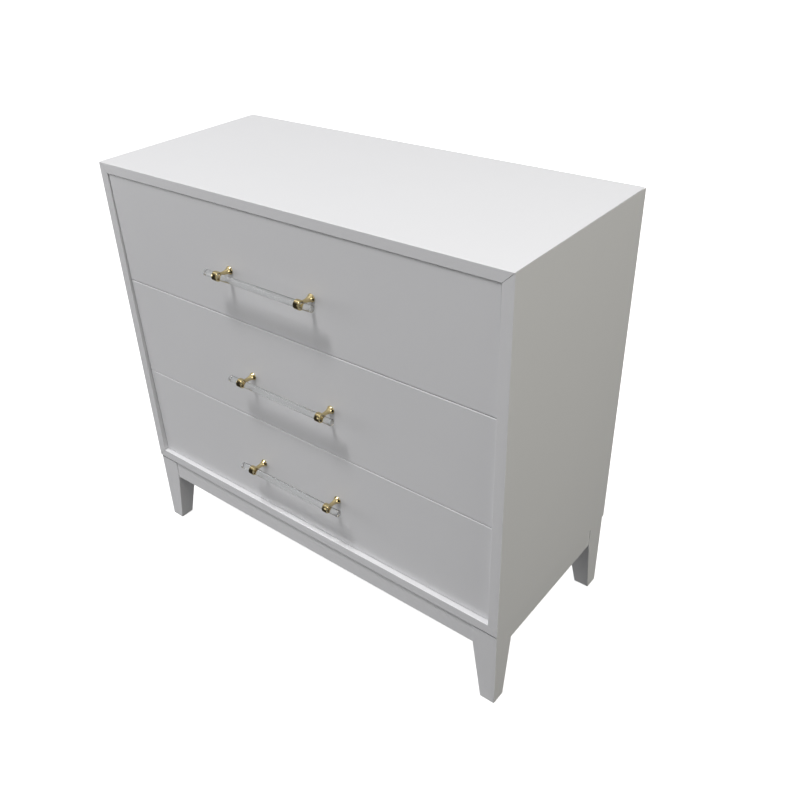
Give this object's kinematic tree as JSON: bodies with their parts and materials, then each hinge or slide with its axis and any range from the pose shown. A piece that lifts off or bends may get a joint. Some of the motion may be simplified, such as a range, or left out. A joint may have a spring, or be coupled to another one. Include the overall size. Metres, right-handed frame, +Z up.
{
  "type": "chest of drawers",
  "caption": "White lacquered chest of drawers with inset fronts in a mitred case, clear acrylic rod pulls on brass posts, and a low base on tapered legs.",
  "frame": {"origin": "on the floor, at the middle of the whole object's width and of its depth over the pulls", "axes": "+X along the width, to the right of a viewer in front; -Y out of the drawer fronts; +Z up"},
  "size_m": [0.914, 0.4392, 0.864],
  "materials": {
    "white_lacquer": "satin white lacquer sprayed on fibreboard and hardwood",
    "white_hardboard": "white painted hardboard",
    "drawer_wood": "clear-coated solid birch",
    "birch_plywood": "clear-coated birch plywood",
    "inner_wood": "bare poplar",
    "zinc_steel": "rolled steel, bright zinc plated",
    "screw_steel": "zinc plated steel",
    "polished_brass": "turned and polished brass",
    "clear_acrylic": "clear cast acrylic, polished",
    "white_nylon": "moulded nylon"
  },
  "bodies": {
    "case": {"top_panel": "white_lacquer", "bottom_panel": "white_lacquer", "left_side_panel": "white_lacquer", "right_side_panel": "white_lacquer", "back_panel": "white_hardboard", "back_panel_screws": "screw_steel", "lower_divider_rail": "inner_wood", "upper_divider_rail": "inner_wood", "front_left_leg": "white_lacquer", "front_right_leg": "white_lacquer", "back_left_leg": "white_lacquer", "back_right_leg": "white_lacquer", "front_apron": "white_lacquer", "back_apron": "white_lacquer", "left_apron": "white_lacquer", "right_apron": "white_lacquer", "corner_blocks": "inner_wood", "corner_block_screws": "screw_steel", "foot_glides": "white_nylon", "lower_case_runners": "zinc_steel", "middle_case_runners": "zinc_steel", "upper_case_runners": "zinc_steel"},
    "lower_drawer": {"lower_drawer_front": "white_lacquer", "lower_box_front": "drawer_wood", "lower_box_left_side": "drawer_wood", "lower_box_right_side": "drawer_wood", "lower_box_back": "drawer_wood", "lower_box_tray": "birch_plywood", "lower_front_screws": "screw_steel", "lower_pull_rod": "clear_acrylic", "lower_pull_posts": "polished_brass", "lower_pull_screws": "screw_steel", "lower_box_runners": "zinc_steel"},
    "middle_drawer": {"middle_drawer_front": "white_lacquer", "middle_box_front": "drawer_wood", "middle_box_left_side": "drawer_wood", "middle_box_right_side": "drawer_wood", "middle_box_back": "drawer_wood", "middle_box_tray": "birch_plywood", "middle_front_screws": "screw_steel", "middle_pull_rod": "clear_acrylic", "middle_pull_posts": "polished_brass", "middle_pull_screws": "screw_steel", "middle_box_runners": "zinc_steel"},
    "upper_drawer": {"upper_drawer_front": "white_lacquer", "upper_box_front": "drawer_wood", "upper_box_left_side": "drawer_wood", "upper_box_right_side": "drawer_wood", "upper_box_back": "drawer_wood", "upper_box_tray": "birch_plywood", "upper_front_screws": "screw_steel", "upper_pull_rod": "clear_acrylic", "upper_pull_posts": "polished_brass", "upper_pull_screws": "screw_steel", "upper_box_runners": "zinc_steel"},
    "lower_runners": {"lower_middle_runners": "zinc_steel"},
    "middle_runners": {"middle_middle_runners": "zinc_steel"},
    "upper_runners": {"upper_middle_runners": "zinc_steel"}
  },
  "joints": [
    {"name": "lower_drawer_slide", "type": "slide", "parent": "case", "child": "lower_drawer", "axis": [0, -1, 0], "range_m": [0, 0.34]},
    {"name": "lower_runner_slide", "type": "slide", "parent": "case", "child": "lower_runners", "axis": [0, -1, 0], "range_m": [0, 0.17]},
    {"name": "middle_drawer_slide", "type": "slide", "parent": "case", "child": "middle_drawer", "axis": [0, -1, 0], "range_m": [0, 0.34]},
    {"name": "middle_runner_slide", "type": "slide", "parent": "case", "child": "middle_runners", "axis": [0, -1, 0], "range_m": [0, 0.17]},
    {"name": "upper_drawer_slide", "type": "slide", "parent": "case", "child": "upper_drawer", "axis": [0, -1, 0], "range_m": [0, 0.34]},
    {"name": "upper_runner_slide", "type": "slide", "parent": "case", "child": "upper_runners", "axis": [0, -1, 0], "range_m": [0, 0.17]}
  ],
  "couplings": [
    {"joint": "lower_runner_slide", "follows": "lower_drawer_slide", "ratio": 0.5},
    {"joint": "middle_runner_slide", "follows": "middle_drawer_slide", "ratio": 0.5},
    {"joint": "upper_runner_slide", "follows": "upper_drawer_slide", "ratio": 0.5}
  ]
}
